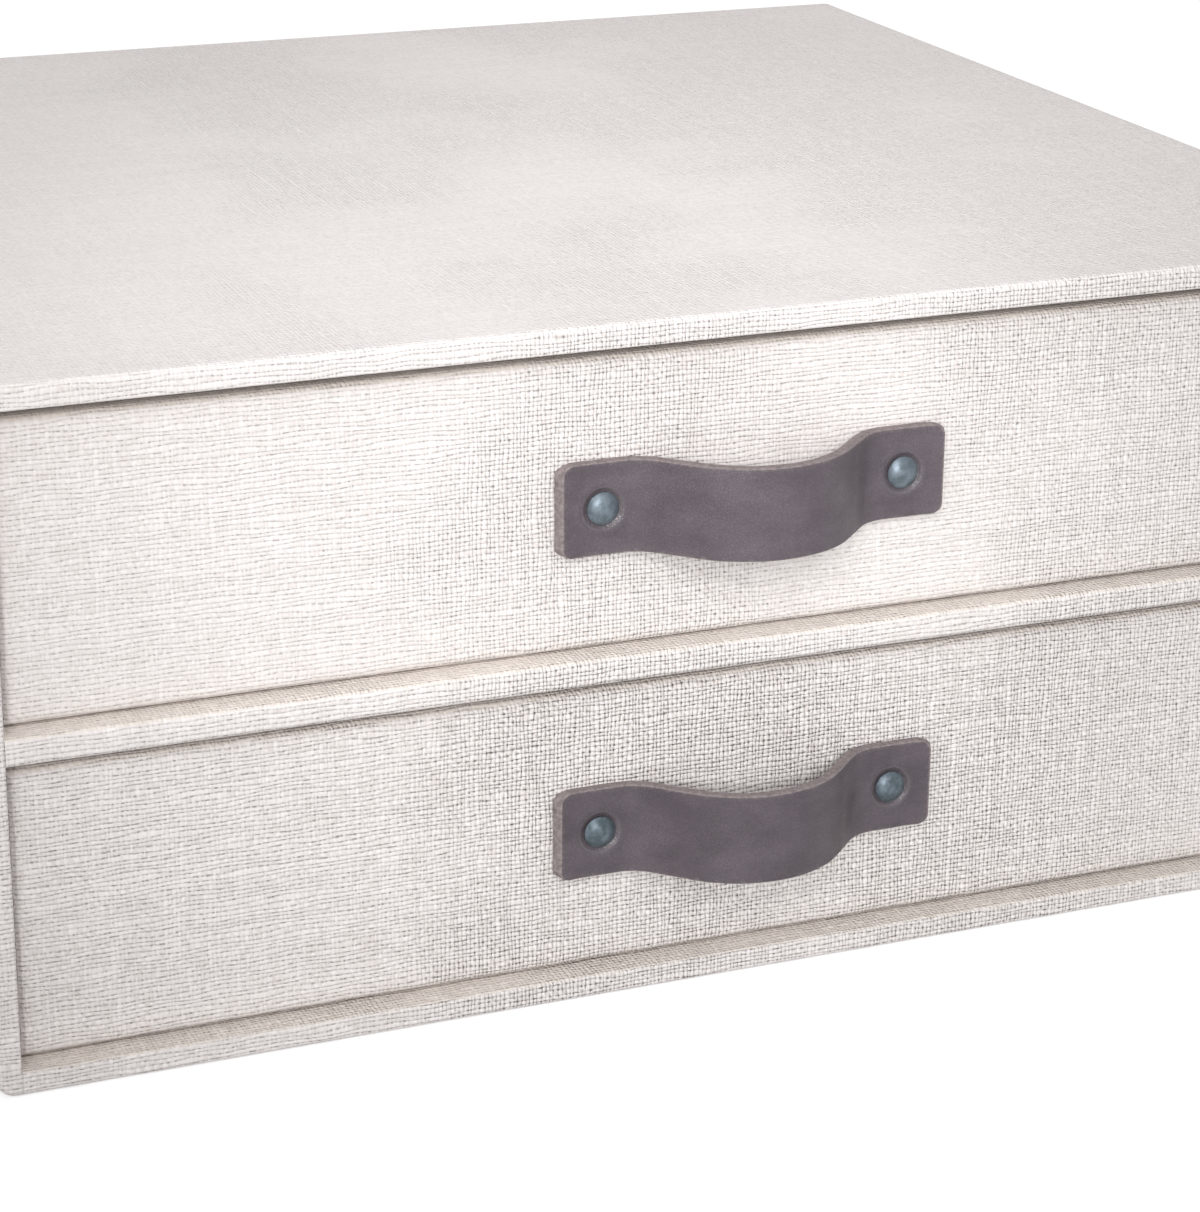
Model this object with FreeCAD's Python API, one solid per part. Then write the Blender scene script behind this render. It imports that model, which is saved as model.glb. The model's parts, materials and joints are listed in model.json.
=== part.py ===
import FreeCAD, Part
import math
import os

# A two-drawer document box: a cloth-covered fibreboard case with a middle shelf, and two open trays that
# slide in it, each with a riveted leather strap for a pull.
#
# Lengths are in millimetres. X runs left to right, Y front to back and Z up. The origin is the middle of
# the case's underside, so the case's front edge is at Y = -case_depth / 2.

# Case
case_width = 330.0
case_depth = 310.0
case_height = 148.0
case_board_thickness = 4.2
shelf_board_thickness = 5.0
cloth_thickness = 0.5
case_lining_thickness = 0.5
case_corner_radius = 4.0        # the four long outer corners, which run front to back
case_rim_radius = 1.5           # the outer edge of the front rim and of the back
case_mouth_radius = 0.7         # the inner edge of the front rim
case_turn_in = 14.0             # cloth folded over an edge
back_cloth_margin = 2.6         # the border that the back's cloth leaves all round

# Drawers
drawer_recess = 5.6             # the drawer's face stands this far behind the case's front
drawer_gap_above = 3.1
drawer_gap_side = 0.6
drawer_gap_below = 0.3
drawer_gap_behind = 2.0
drawer_front_board_thickness = 4.0
drawer_board_thickness = 2.5
drawer_cover_thickness = 0.3
drawer_lining_thickness = 0.3
drawer_rim_radius = 2.4
drawer_turn_in = 12.0

# Leather strap pulls
strap_width = 20.0
strap_thickness = 2.5
strap_rise = 16.2               # how far the middle stands out from the ends
strap_slope_deg = 45.0
strap_foot_radius = 11.0        # centreline radius of the bend beside each end
strap_crown_radius = 23.0       # centreline radius of the bend over the middle
strap_end_margin = 9.2          # from a rivet's centre to the strap's end
strap_corner_radius = 2.5
strap_edge_radius = 0.45

# Rivets
rivet_head_diameter = 7.0
rivet_dome_height = 1.6
rivet_brim_height = 0.3
rivet_shank_diameter = 3.0
rivet_hole_clearance = 0.1      # on the radius
rivet_bend_clearance = 0.3      # from a head's edge to the start of the bend
rivet_seat_depth = 0.4          # how deep the head presses into the leather
rivet_seat_flare = 0.9
rivet_cap_diameter = 8.0
rivet_cap_thickness = 0.8
rivet_cap_edge_radius = 0.25

# Sizes that follow from those above. "cover" is whatever lines a board's inner face.
case_cover = max(cloth_thickness, case_lining_thickness)
case_front = -case_depth / 2
case_back = case_depth / 2
board_half_width = case_width / 2 - cloth_thickness - case_board_thickness
board_floor = cloth_thickness + case_board_thickness
board_ceiling = case_height - board_floor
board_rear = case_back - cloth_thickness - case_board_thickness
bay_half_width = board_half_width - case_cover
bay_rear = board_rear - case_cover
bay_floor = board_floor + case_cover
bay_ceiling = board_ceiling - case_cover
shelf_thickness = shelf_board_thickness + 2 * cloth_thickness
shelf_bottom = (bay_floor + bay_ceiling - shelf_thickness) / 2
shelf_top = shelf_bottom + shelf_thickness

drawer_half_width = bay_half_width - drawer_gap_side
drawer_front = case_front + drawer_recess
drawer_back = bay_rear - drawer_gap_behind

strap_slope = math.radians(strap_slope_deg)
rivet_head_radius = rivet_head_diameter / 2
rivet_shank_radius = rivet_shank_diameter / 2

past = 5.0                      # how far a cutting tool reaches past what it cuts


def block(x_range, y_range, z_range):
    """A box from its lowest and highest X, Y and Z."""
    size = [high - low for low, high in (x_range, y_range, z_range)]
    return Part.makeBox(*size, FreeCAD.Vector(x_range[0], y_range[0], z_range[0]))


def edges_along(shape, axis):
    """The straight edges of a shape that run along X, Y or Z (0, 1 or 2)."""
    found = []
    for edge in shape.Edges:
        ends = [vertex.Point for vertex in edge.Vertexes]
        if len(ends) < 2 or edge.Curve.TypeId != "Part::GeomLine":
            continue
        run = ends[1] - ends[0]
        if abs(abs(run[axis]) - run.Length) < 1e-6:
            found.append(edge)
    return found


def edges_on_plane(shape, y, half_width, z_range):
    """The edges that lie in the plane at Y = y, within a half width and a height range."""
    found = []
    for edge in shape.Edges:
        box = edge.BoundBox
        in_plane = abs(box.YMin - y) < 1e-6 and abs(box.YMax - y) < 1e-6
        in_width = box.XMin > -half_width - 1e-6 and box.XMax < half_width + 1e-6
        in_height = box.ZMin > z_range[0] - 1e-6 and box.ZMax < z_range[1] + 1e-6
        if in_plane and in_width and in_height:
            found.append(edge)
    return found


def case_block(inset):
    """The case's outer shape, made smaller on every side by inset, with rounded corners and rims."""
    half_width = case_width / 2 - inset
    y_range = (case_front + inset, case_back - inset)
    z_range = (inset, case_height - inset)
    solid = block((-half_width, half_width), y_range, z_range)
    solid = solid.makeFillet(case_corner_radius - inset, edges_along(solid, 1))
    for y in y_range:
        rim = edges_on_plane(solid, y, half_width, z_range)
        solid = solid.makeFillet(case_rim_radius - inset, rim)
    return solid


def mouth_cutter(half_width, z_range, y_front, y_back, radius):
    """A box that cuts a mouth at y_front, flared by a fillet of the given radius at the mouth's edge."""
    cutter = block((-half_width, half_width), (y_front - past, y_back), z_range)
    flare = radius + past
    wide = block((-half_width - flare, half_width + flare), (y_front - past, y_front),
                 (z_range[0] - flare, z_range[1] + flare))
    joined = cutter.fuse(wide)
    return joined.makeFillet(radius, edges_on_plane(joined, y_front, half_width, z_range))


def make_case_boards():
    """The case's five boards, cut from one rounded block with the cavity taken out of its front."""
    cavity = mouth_cutter(board_half_width, (board_floor, board_ceiling), case_front + cloth_thickness,
                          board_rear, case_mouth_radius / 2)
    body = case_block(cloth_thickness).cut(cavity)
    far = case_width + case_depth
    inner = (-board_half_width, board_half_width)
    between = (board_floor, board_ceiling)
    whole = (-far, far)
    return {
        "base_board": body.common(block(whole, whole, (-far, board_floor))),
        "top_board": body.common(block(whole, whole, (board_ceiling, far))),
        "left_side_board": body.common(block((-far, -board_half_width), whole, between)),
        "right_side_board": body.common(block((board_half_width, far), whole, between)),
        "back_board": body.common(block(inner, (board_rear, far), between)),
    }


def make_case_cloths():
    """The case's cloth: one sheet over the sides and top, one under the base and one on the back.

    The first two are folded over the front rim into the case and over the back's edges, and they butt
    together in line with the inner faces of the sides. The back's cloth covers the folds.
    """
    fold_end = case_front + case_turn_in
    lined = mouth_cutter(board_half_width - cloth_thickness,
                         (board_floor + cloth_thickness, board_ceiling - cloth_thickness),
                         case_front, fold_end, case_mouth_radius)
    bare = block((-board_half_width, board_half_width), (fold_end, board_rear), (board_floor, board_ceiling))
    boards = make_case_boards().values()
    skin = case_block(0).cut([lined, bare] + list(boards))

    back_face = case_back - cloth_thickness
    window = block((-case_width / 2 + case_turn_in, case_width / 2 - case_turn_in),
                   (back_face, case_back), (case_turn_in, case_height - case_turn_in))
    skin = skin.cut(window)

    seam = board_half_width - cloth_thickness
    under = block((-seam, seam), (case_front - past, case_back + past),
                  (-past, board_floor + cloth_thickness))
    up_the_back = block((-seam, seam), (back_face, case_back + past), (-past, case_turn_in))
    base_region = under.fuse(up_the_back)

    half_width = case_width / 2 - back_cloth_margin
    sheet = block((-half_width, half_width), (case_back, case_back + cloth_thickness),
                  (back_cloth_margin, case_height - back_cloth_margin))
    sheet = sheet.makeFillet(case_corner_radius, edges_along(sheet, 1))
    return {
        "outer_cloth": skin.cut(base_region),
        "base_cloth": skin.common(base_region),
        "back_cloth": sheet.fuse(window).removeSplitter(),
    }


def make_shelf():
    """The shelf's board, and the cloth wrapped round its front edge, top and underside."""
    outer = block((-bay_half_width, bay_half_width), (case_front, bay_rear), (shelf_bottom, shelf_top))
    outer = outer.makeFillet(case_rim_radius, front_edges_along_x(outer, case_front))
    front = case_front + cloth_thickness
    board = block((-bay_half_width, bay_half_width), (front, bay_rear),
                  (shelf_bottom + cloth_thickness, shelf_top - cloth_thickness))
    board = board.makeFillet(case_rim_radius - cloth_thickness, front_edges_along_x(board, front))
    return {"shelf_board": board, "shelf_cloth": outer.cut(board)}


def front_edges_along_x(shape, y):
    return [edge for edge in edges_along(shape, 0) if abs(edge.BoundBox.YMin - y) < 1e-6]


def make_bay_linings():
    """The paper inside the case: floor, sides and back of the lower bay; ceiling, sides and back of the upper.

    The two meet behind the shelf's edges, so that the shelf is glued between them.
    """
    fold_end = case_front + case_turn_in
    full = (-board_half_width, board_half_width)
    clear = (-board_half_width + case_lining_thickness, board_half_width - case_lining_thickness)
    rear = board_rear - case_lining_thickness
    middle = (shelf_bottom + shelf_top) / 2
    lower = block(full, (fold_end, board_rear), (board_floor, middle))
    lower_space = block(clear, (fold_end, rear), (board_floor + case_lining_thickness, middle))
    upper = block(full, (fold_end, board_rear), (middle, board_ceiling))
    upper_space = block(clear, (fold_end, rear), (middle, board_ceiling - case_lining_thickness))
    return {"lower_bay_lining": lower.cut(lower_space), "upper_bay_lining": upper.cut(upper_space)}


def make_drawer(low, high):
    """One drawer's boards, cloth and papers, between the heights of its lowest and highest faces."""
    cloth = cloth_thickness
    half = drawer_half_width - cloth                        # outer faces of the boards
    inner = half - drawer_board_thickness                   # inner faces of the side boards
    board_low = low + cloth
    board_high = high - cloth
    board_front = drawer_front + cloth
    front_back = board_front + drawer_front_board_thickness
    board_back = drawer_back - drawer_cover_thickness
    rear_face = board_back - drawer_board_thickness
    floor = board_low + drawer_board_thickness
    fold_end = drawer_front + drawer_turn_in

    front_board = block((-half, half), (board_front, front_back), (board_low, board_high))
    rim = edges_on_plane(front_board, board_front, half, (board_low, board_high))
    front_board = front_board.makeFillet(drawer_rim_radius - cloth, rim)

    face = block((-drawer_half_width, drawer_half_width), (drawer_front, fold_end), (low, high))
    rim = edges_on_plane(face, drawer_front, drawer_half_width, (low, high))
    face = face.makeFillet(drawer_rim_radius, rim)
    behind = block((-half, half), (front_back, fold_end), (board_low, board_high))
    mouth = block((-inner, inner), (front_back + cloth, fold_end), (board_low, high))
    folded_down = block((-inner, inner), (front_back, front_back + cloth), (high - drawer_turn_in, high))
    front_cloth = face.cut([front_board, behind, mouth]).fuse(folded_down).removeSplitter()

    cover_half = half + drawer_cover_thickness
    cover = block((-cover_half, cover_half), (fold_end, drawer_back),
                  (board_low - drawer_cover_thickness, board_high + drawer_cover_thickness))
    boards = block((-half, half), (fold_end, board_back), (board_low, board_high))
    mouth = block((-inner, inner), (fold_end, rear_face), (board_low, high))

    lining = block((-inner, inner), (front_back, rear_face), (floor, board_high))
    thick = drawer_lining_thickness
    space = block((-inner + thick, inner - thick), (front_back + thick, rear_face - thick),
                  (floor + thick, board_high))
    fold = block((-inner, inner), (front_back, front_back + max(thick, cloth)),
                 (high - drawer_turn_in, board_high))

    wall = (front_back, board_back)
    return {
        "front_board": front_board,
        "base_board": block((-half, half), wall, (board_low, floor)),
        "left_board": block((-half, -inner), wall, (floor, board_high)),
        "right_board": block((inner, half), wall, (floor, board_high)),
        "back_board": block((-inner, inner), (rear_face, board_back), (floor, board_high)),
        "front_cloth": front_cloth,
        "cover_paper": cover.cut([boards, mouth]),
        "lining_paper": lining.cut([space, fold]),
    }


def strap_bend():
    """The length of the straight run between a strap's two bends, and how far out the bends reach in X."""
    radii = strap_foot_radius + strap_crown_radius
    straight = (strap_rise - radii * (1 - math.cos(strap_slope))) / math.sin(strap_slope)
    reach = radii * math.sin(strap_slope) + straight * math.cos(strap_slope)
    return straight, reach


def rivet_offset():
    """How far each rivet stands from the strap's middle."""
    return strap_bend()[1] + rivet_bend_clearance + rivet_head_radius


def strap_half_path(side):
    """One face of the strap from its middle to its right end: points for an arc, a line, an arc and a line.

    side is +1 for the face away from the drawer and -1 for the face towards it. The ends' face towards the
    drawer lies at Y = 0, and the strap's middle stands towards -Y.
    """
    half = side * strap_thickness / 2
    crown = strap_crown_radius + half
    foot = strap_foot_radius - half
    straight, reach = strap_bend()
    crown_centre = FreeCAD.Vector(0, -strap_thickness / 2 - strap_rise + strap_crown_radius, 0)
    foot_centre = FreeCAD.Vector(reach, -strap_thickness / 2 - strap_foot_radius, 0)

    def on_crown(angle):
        return crown_centre + FreeCAD.Vector(crown * math.sin(angle), -crown * math.cos(angle), 0)

    def on_foot(angle):
        return foot_centre + FreeCAD.Vector(-foot * math.sin(angle), foot * math.cos(angle), 0)

    end = FreeCAD.Vector(rivet_offset() + strap_end_margin, on_foot(0).y, 0)
    return [
        Part.Arc(on_crown(0), on_crown(strap_slope / 2), on_crown(strap_slope)).toShape(),
        Part.LineSegment(on_crown(strap_slope), on_foot(strap_slope)).toShape(),
        Part.Arc(on_foot(strap_slope), on_foot(strap_slope / 2), on_foot(0)).toShape(),
        Part.LineSegment(on_foot(0), end).toShape(),
    ]


def make_strap(handle_height):
    """A bent strap with rounded ends, holes for the rivets and a shallow seat under each head."""
    near = strap_half_path(-1)
    away = strap_half_path(1)
    ends = Part.LineSegment(near[-1].Vertexes[-1].Point, away[-1].Vertexes[-1].Point).toShape()
    middle = Part.LineSegment(near[0].Vertexes[0].Point, away[0].Vertexes[0].Point).toShape()
    profile = Part.Face(Part.Wire(Part.__sortEdges__(near + away + [ends, middle])))
    right_half = profile.extrude(FreeCAD.Vector(0, 0, strap_width))
    left_half = right_half.mirror(FreeCAD.Vector(0, 0, 0), FreeCAD.Vector(1, 0, 0))
    strap = right_half.fuse(left_half).removeSplitter()
    corners = [edge for edge in edges_along(strap, 1) if edge.Length > strap_thickness * 0.9]
    strap = strap.makeFillet(strap_corner_radius, corners)
    strap.translate(FreeCAD.Vector(0, drawer_front, handle_height - strap_width / 2))
    strap = soften_outer_edges(strap)

    for x in (-rivet_offset(), rivet_offset()):
        centre = FreeCAD.Vector(x, drawer_front - strap_thickness, handle_height)
        seat = Part.makeCone(rivet_head_radius + rivet_seat_flare, rivet_head_radius, rivet_seat_depth,
                             centre, FreeCAD.Vector(0, 1, 0))
        strap = strap.cut([seat, rivet_hole(x, handle_height)])
    return strap


def soften_outer_edges(strap):
    """Rounds the edges all round the strap's outer face, but not the seams that cross the face."""
    inner_face = Part.Wire(strap_half_path(-1))
    end = rivet_offset() + strap_end_margin
    rounded = []
    for edge in strap.Edges:
        middle = edge.valueAt((edge.FirstParameter + edge.LastParameter) / 2)
        beside = FreeCAD.Vector(abs(middle.x), middle.y - drawer_front, 0)
        outward = inner_face.distToShape(Part.Vertex(beside))[0] > strap_thickness - 1e-3
        crossing = edge.BoundBox.ZLength > strap_width - 1e-3
        at_end = abs(middle.x) > end - 1e-3
        if outward and (at_end or not crossing):
            rounded.append(edge)
    return strap.makeFillet(strap_edge_radius, rounded)


def rivet_hole(x, handle_height):
    """A cutter for a rivet's hole, through the strap and the drawer's front."""
    start = FreeCAD.Vector(x, drawer_front - strap_thickness - past, handle_height)
    length = 2 * past + strap_thickness + cloth_thickness + drawer_front_board_thickness
    return Part.makeCylinder(rivet_shank_radius + rivet_hole_clearance, length, start, FreeCAD.Vector(0, 1, 0))


def make_rivet(x, handle_height):
    """A rivet: a domed head with a thin brim, and the shank that runs through to the cap inside."""
    under = drawer_front - strap_thickness + rivet_seat_depth
    brim = under - rivet_brim_height
    tip = brim - rivet_dome_height
    dome_radius = (rivet_head_radius ** 2 + rivet_dome_height ** 2) / (2 * rivet_dome_height)
    half_angle = math.asin(rivet_head_radius / dome_radius) / 2
    bulge = FreeCAD.Vector(dome_radius * math.sin(half_angle),
                           tip + dome_radius * (1 - math.cos(half_angle)), 0)
    far = rivet_cap_seat() + rivet_cap_thickness
    points = [
        FreeCAD.Vector(rivet_head_radius, brim, 0),
        FreeCAD.Vector(rivet_head_radius, under, 0),
        FreeCAD.Vector(rivet_shank_radius, under, 0),
        FreeCAD.Vector(rivet_shank_radius, far, 0),
        FreeCAD.Vector(0, far, 0),
        FreeCAD.Vector(0, tip, 0),
    ]
    edges = [Part.Arc(points[-1], bulge, points[0]).toShape()]
    edges += [Part.LineSegment(start, end).toShape() for start, end in zip(points, points[1:])]
    profile = Part.Face(Part.Wire(Part.__sortEdges__(edges)))
    rivet = profile.revolve(FreeCAD.Vector(0, 0, 0), FreeCAD.Vector(0, 1, 0), 360)
    rivet.translate(FreeCAD.Vector(x, 0, handle_height))
    return rivet


def rivet_cap_seat():
    """The drawer's inner front face, on which the rivets' caps sit."""
    return drawer_front + cloth_thickness + drawer_front_board_thickness + drawer_lining_thickness


def make_rivet_cap(x, handle_height):
    """The ring pressed on a rivet's shank inside the drawer."""
    start = FreeCAD.Vector(x, rivet_cap_seat(), handle_height)
    along = FreeCAD.Vector(0, 1, 0)
    disc = Part.makeCylinder(rivet_cap_diameter / 2, rivet_cap_thickness, start, along)
    rim = [edge for edge in disc.Edges if abs(edge.BoundBox.YMin - start.y - rivet_cap_thickness) < 1e-6]
    disc = disc.makeFillet(rivet_cap_edge_radius, rim)
    return disc.cut(Part.makeCylinder(rivet_shank_radius, rivet_cap_thickness, start, along))


def make_handle(handle_height):
    """A strap, its two rivets and their two caps."""
    places = (-rivet_offset(), rivet_offset())
    return {
        "strap": make_strap(handle_height),
        "rivets": Part.makeCompound([make_rivet(x, handle_height) for x in places]),
        "rivet_caps": Part.makeCompound([make_rivet_cap(x, handle_height) for x in places]),
    }


def make_drawer_and_handle(name, bay_low, bay_high):
    """Every node of one drawer, with its handle, in the bay between two heights."""
    low = bay_low + drawer_gap_below
    high = bay_high - drawer_gap_above
    handle_height = (low + high) / 2
    pieces = make_drawer(low, high)
    for pierced in ("front_board", "front_cloth", "lining_paper"):
        holes = [rivet_hole(x, handle_height) for x in (-rivet_offset(), rivet_offset())]
        pieces[pierced] = pieces[pierced].cut(holes)
    nodes = {name + "_drawer_" + piece: shape for piece, shape in pieces.items()}
    nodes.update({name + "_handle_" + piece: shape for piece, shape in make_handle(handle_height).items()})
    return nodes


def make_nodes():
    nodes = make_case_boards()
    nodes.update(make_case_cloths())
    nodes.update(make_shelf())
    nodes.update(make_bay_linings())
    nodes.update(make_drawer_and_handle("lower", bay_floor, shelf_bottom))
    nodes.update(make_drawer_and_handle("upper", shelf_top, bay_ceiling))
    return nodes


def write_nodes():
    os.makedirs("parts", exist_ok=True)
    for name, shape in make_nodes().items():
        shape.exportStep("parts/" + name + ".step")
        print(name, "solids", len(shape.Solids), "volume", round(shape.Volume, 1), "valid", shape.isValid())


write_nodes()
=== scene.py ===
# %% [markdown]
# # A linen document box with two drawers
# The box is an open-fronted case with two shallow drawers, all of fibreboard covered in natural linen. Each
# drawer is pulled by a bent leather strap held with two domed rivets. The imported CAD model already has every
# board, cloth and paper in its place, so this lesson adds what a CAD model lacks: woven cloth, leather, old
# metal, paper and light. All lengths are in metres; X runs to the right, Y to the back and Z up.

# %% Load the CAD model
import json
import math

import bmesh
import bpy
from mathutils import Matrix, Vector

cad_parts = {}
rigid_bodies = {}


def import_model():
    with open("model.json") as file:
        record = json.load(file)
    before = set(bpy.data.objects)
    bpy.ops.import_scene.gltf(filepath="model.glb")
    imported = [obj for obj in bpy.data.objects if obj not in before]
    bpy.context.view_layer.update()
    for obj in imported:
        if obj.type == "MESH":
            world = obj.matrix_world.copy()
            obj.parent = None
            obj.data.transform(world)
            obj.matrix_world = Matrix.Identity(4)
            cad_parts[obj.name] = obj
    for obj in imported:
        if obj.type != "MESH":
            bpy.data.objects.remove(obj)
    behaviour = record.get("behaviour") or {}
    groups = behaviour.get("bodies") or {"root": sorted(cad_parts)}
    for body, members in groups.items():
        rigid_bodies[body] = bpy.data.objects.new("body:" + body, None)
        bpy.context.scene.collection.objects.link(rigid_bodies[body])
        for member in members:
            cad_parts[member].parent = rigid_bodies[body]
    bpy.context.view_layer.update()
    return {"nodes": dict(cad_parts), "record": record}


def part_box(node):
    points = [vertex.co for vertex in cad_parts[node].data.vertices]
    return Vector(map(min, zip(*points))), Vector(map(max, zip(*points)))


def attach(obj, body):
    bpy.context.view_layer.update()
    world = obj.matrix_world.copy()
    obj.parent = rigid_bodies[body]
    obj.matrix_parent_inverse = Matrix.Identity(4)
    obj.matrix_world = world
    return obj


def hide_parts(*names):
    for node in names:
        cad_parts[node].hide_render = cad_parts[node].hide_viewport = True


MM = 0.001
for leftover in list(bpy.data.objects):
    bpy.data.objects.remove(leftover)
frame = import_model()
nodes = frame["nodes"]

# %% [markdown]
# ## Arithmetic in node trees
# Weaves, grains and bent straps are all formulas, and a formula drawn as forty separate nodes is hard to
# read. So a small class stands for one value on its way through a node tree: adding or multiplying two of
# them places a Math node and links it. It works in shader trees and in geometry trees alike.


# %% A value that can be calculated with
def plug(value, socket):
    """Feeds a socket with a value that is either a wire or a plain constant."""
    if isinstance(value, Wire):
        value.tree.links.new(value.socket, socket)
    else:
        socket.default_value = value


def place_node(tree, kind, settings=None, **values):
    """Places a node. Its inputs are given by name, with _ for a space."""
    node = tree.nodes.new(kind)
    for name, value in (settings or {}).items():
        setattr(node, name, value)
    for label, value in values.items():
        plug(value, node.inputs[label.replace("_", " ")])
    return node


class Wire:
    """One value inside a node tree."""

    def __init__(self, tree, socket):
        self.tree = tree
        self.socket = socket

    def math(self, operation, *others):
        """Places a Math node, with this wire as its first value."""
        node = self.tree.nodes.new("ShaderNodeMath")
        node.operation = operation
        for value, socket in zip((self, *others), node.inputs):
            plug(value, socket)
        return Wire(self.tree, node.outputs[0])

    def __add__(self, other):
        return self.math("ADD", other)

    def __sub__(self, other):
        return self.math("SUBTRACT", other)

    def __mul__(self, other):
        return self.math("MULTIPLY", other)

    def __truediv__(self, other):
        return self.math("DIVIDE", other)

    def opposite(self):
        """One minus this wire."""
        return self * -1.0 + 1.0

    def smooth(self, low, high, to_low=0.0, to_high=1.0):
        """Goes smoothly from one value to another as this wire goes from low to high."""
        node = self.tree.nodes.new("ShaderNodeMapRange")
        node.interpolation_type = "SMOOTHSTEP"
        for value, socket in zip((self, low, high, to_low, to_high), node.inputs):
            plug(value, socket)
        return Wire(self.tree, node.outputs[0])


print("A Wire places Math and Map Range nodes")

# %% [markdown]
# A few more nodes come back in every finish: vectors, mixtures, and two sorts of randomness. Noise changes
# smoothly from place to place, and White Noise gives each place a number of its own, as a dice does.


# %% Vectors, mixtures and randomness
def vector(tree, x=0.0, y=0.0, z=0.0):
    """A vector put together from three values."""
    node = tree.nodes.new("ShaderNodeCombineXYZ")
    for value, socket in zip((x, y, z), node.inputs):
        plug(value, socket)
    return Wire(tree, node.outputs[0])


def parts_of(wire):
    """The X, Y and Z of a vector."""
    node = wire.tree.nodes.new("ShaderNodeSeparateXYZ")
    plug(wire, node.inputs[0])
    return [Wire(wire.tree, socket) for socket in node.outputs]


def between(tree, share, low, high):
    """Mixes two values by a share from 0 to 1."""
    node = place_node(tree, "ShaderNodeMix", {"data_type": "FLOAT"})
    plug(share, node.inputs[0])
    plug(low, node.inputs[2])
    plug(high, node.inputs[3])
    return Wire(tree, node.outputs[0])


def blend(tree, share, first, second, way="MIX"):
    """Mixes two colours by a share from 0 to 1. A plain colour is three numbers."""
    node = place_node(tree, "ShaderNodeMix", {"data_type": "RGBA", "blend_type": way})
    plug(share, node.inputs[0])
    for colour, socket in ((first, node.inputs[6]), (second, node.inputs[7])):
        plug(colour if isinstance(colour, Wire) else (*colour, 1.0), socket)
    return Wire(tree, node.outputs[2])


def noise(tree, where, scale=1.0, detail=2.0, roughness=0.5):
    """Smooth random values, about 0 to 1, at a place in the pattern."""
    node = tree.nodes.new("ShaderNodeTexNoise")
    plug(where, node.inputs["Vector"])
    node.inputs["Scale"].default_value = scale
    node.inputs["Detail"].default_value = detail
    node.inputs["Roughness"].default_value = roughness
    return Wire(tree, node.outputs[0])


def dice(tree, where):
    """A separate random value from 0 to 1 for every different place."""
    node = tree.nodes.new("ShaderNodeTexWhiteNoise")
    plug(where, node.inputs["Vector"])
    return Wire(tree, node.outputs[0])


print("The helpers place Combine, Separate, Mix, Noise and White Noise nodes")

# %% [markdown]
# A node group is a formula with a name: its inputs and outputs are sockets on its interface. This helper
# makes the empty group and hands back its inputs as wires.


# %% An empty node group
def new_group(name, inputs, outputs, kind="ShaderNodeTree"):
    """A node group. Each input or output is a name with a default number, or with a socket's kind."""
    tree = bpy.data.node_groups.new(name, kind)
    for sockets, way in ((inputs, "INPUT"), (outputs, "OUTPUT")):
        for label, default in sockets.items():
            is_kind = isinstance(default, str)
            socket_type = "NodeSocket" + (default if is_kind else "Float")
            socket = tree.interface.new_socket(label, in_out=way, socket_type=socket_type)
            if way == "INPUT" and not is_kind:
                socket.default_value = default
    start = tree.nodes.new("NodeGroupInput")
    end = tree.nodes.new("NodeGroupOutput")
    return tree, {s.name: Wire(tree, s) for s in start.outputs if s.name}, end.inputs


def use_group(tree, group, **values):
    """Places a group in a tree. Its inputs are given by name, with _ for a space; its outputs come back."""
    node = tree.nodes.new("ShaderNodeGroup")
    node.node_tree = group
    for label, value in values.items():
        plug(value, node.inputs[label.replace("_", " ")])
    return {s.name: Wire(tree, s) for s in node.outputs}


print("Groups are made with interface.new_socket")

# %% [markdown]
# ## Plain weave
# The linen is the box's main surface. In a plain weave each lengthwise yarn, the warp, passes over one
# crosswise yarn, the weft, and under the next. An image of cloth would blur close up, so the weave is
# calculated: two families of round yarns rise and sink like a chessboard, and whichever is higher shows.
# Flax is spun unevenly, so its yarns wander from their straight line. From here on a length is counted in
# yarns, so a point has a column and a row.


# %% Where a point lies among the yarns
def wander(tree, across, along, amount, seed):
    """Pushes each family sideways by a noise that changes slowly along its yarns and fast across them."""
    slow, fast = 0.07, 0.33
    push_x = noise(tree, vector(tree, across * fast, along * slow, seed), detail=1.0)
    push_y = noise(tree, vector(tree, across * slow, along * fast, seed + 5.0), detail=1.0)
    return across + (push_x - 0.5) * amount, along + (push_y - 0.5) * amount


def in_cell(value):
    """The number of the yarn that a value lies in, and how far it is from the yarn's middle."""
    index = value.math("FLOOR")
    return index, value - index - 0.5


print("Every point has a column and a row, and its distance from the middle of each")

# %% [markdown]
# Seen close, the dark parts of the cloth are painted shade of two kinds. Holes sit where four yarns leave a
# corner free, and furrows run on for a few yarns between two neighbours of one family. Both come and go at
# random.


# %% Holes and furrows
def dark_gaps(tree, x, y, from_column, from_row, top, patch, seed):
    """How much painted shade fills the gaps between yarns, from the yarns' top and from the patch that the
    point is in.
    """
    corner_x = (x + 0.5).math("FLOOR")
    corner_y = (y + 0.5).math("FLOOR")
    open_hole = dice(tree, vector(tree, corner_x, corner_y, seed + 20.0)).math("POWER", 2.0) * 0.85 + 0.12
    # Holes and furrows are painted shade in the hollows between the yarns.
    hole = top.smooth(0.0, 0.6, 1.0, 0.0) * open_hole * (patch * 0.8 + 0.2)
    weft_place = vector(tree, x * 1.1, corner_y * 5.3, seed + 30.0)
    weft_run = noise(tree, weft_place, detail=1.0).smooth(0.42, 0.74)
    weft_furrow = from_row.math("ABSOLUTE").smooth(0.26, 0.5) * (weft_run * 0.8 + 0.12)
    warp_place = vector(tree, corner_x * 5.3, y * 0.9, seed + 40.0)
    warp_run = noise(tree, warp_place, detail=1.0).smooth(0.42, 0.76)
    warp_furrow = from_column.math("ABSOLUTE").smooth(0.28, 0.5) * (warp_run * 0.85 + 0.1)
    return hole + weft_furrow * (patch * 0.15 + 0.68) + warp_furrow * (patch * 0.6 + 0.08)


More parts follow.
